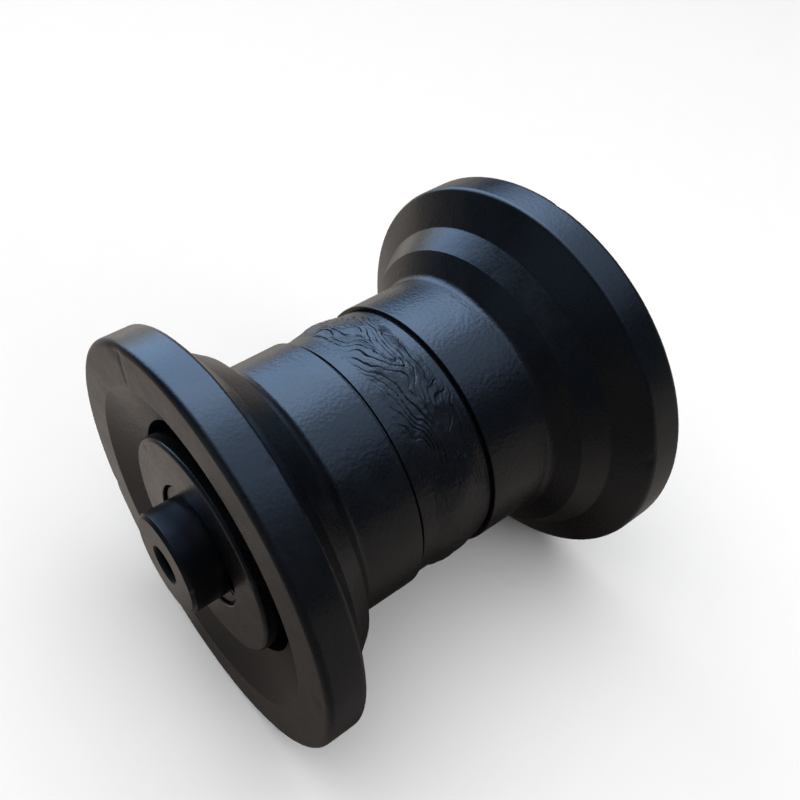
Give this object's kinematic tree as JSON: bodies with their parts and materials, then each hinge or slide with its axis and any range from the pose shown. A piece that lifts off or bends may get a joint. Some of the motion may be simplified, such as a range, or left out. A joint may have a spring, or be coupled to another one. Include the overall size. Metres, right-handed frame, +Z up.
{
  "type": "track roller",
  "caption": "Double-flanged bottom roller for a small excavator track: a welded two-half shell turning on a fixed sealed shaft with threaded ends.",
  "frame": {"origin": "on the spin axis, at the mid-plane of the roller", "axes": "+Y along the spin axis, +Z up, +X across the track"},
  "size_m": [0.156, 0.18, 0.156],
  "materials": {
    "shell_paint": "semi-gloss black paint over forged steel",
    "weld_paint": "semi-gloss black paint over weld ripples",
    "collar_paint": "semi-gloss black paint over machined steel",
    "shaft_paint": "ground steel inside, black paint on the ends",
    "snap_ring_paint": "spring steel under black paint",
    "bushing_bronze": "machined bronze",
    "seal_iron": "lapped cast iron",
    "seal_rubber": "moulded nitrile rubber",
    "oring_rubber": "moulded nitrile rubber",
    "plug_steel": "plain steel"
  },
  "bodies": {
    "shaft_assembly": {"shaft": "shaft_paint", "collar_left": "collar_paint", "collar_right": "collar_paint", "seal_ring_collar_left": "seal_iron", "seal_ring_collar_right": "seal_iron", "seal_rubber_collar_left": "seal_rubber", "seal_rubber_collar_right": "seal_rubber", "shaft_oring_left": "oring_rubber", "shaft_oring_right": "oring_rubber", "snap_ring_left": "snap_ring_paint", "snap_ring_right": "snap_ring_paint", "oil_plug": "plug_steel"},
    "roller": {"shell_left": "shell_paint", "shell_right": "shell_paint", "weld_bead": "weld_paint", "bushing_left": "bushing_bronze", "bushing_right": "bushing_bronze", "seal_ring_shell_left": "seal_iron", "seal_ring_shell_right": "seal_iron", "seal_rubber_shell_left": "seal_rubber", "seal_rubber_shell_right": "seal_rubber"}
  },
  "joints": [
    {"name": "roller_spin", "type": "hinge", "parent": "shaft_assembly", "child": "roller", "pos_m": [0, 0, 0], "axis": [0, 1, 0], "continuous": true}
  ]
}
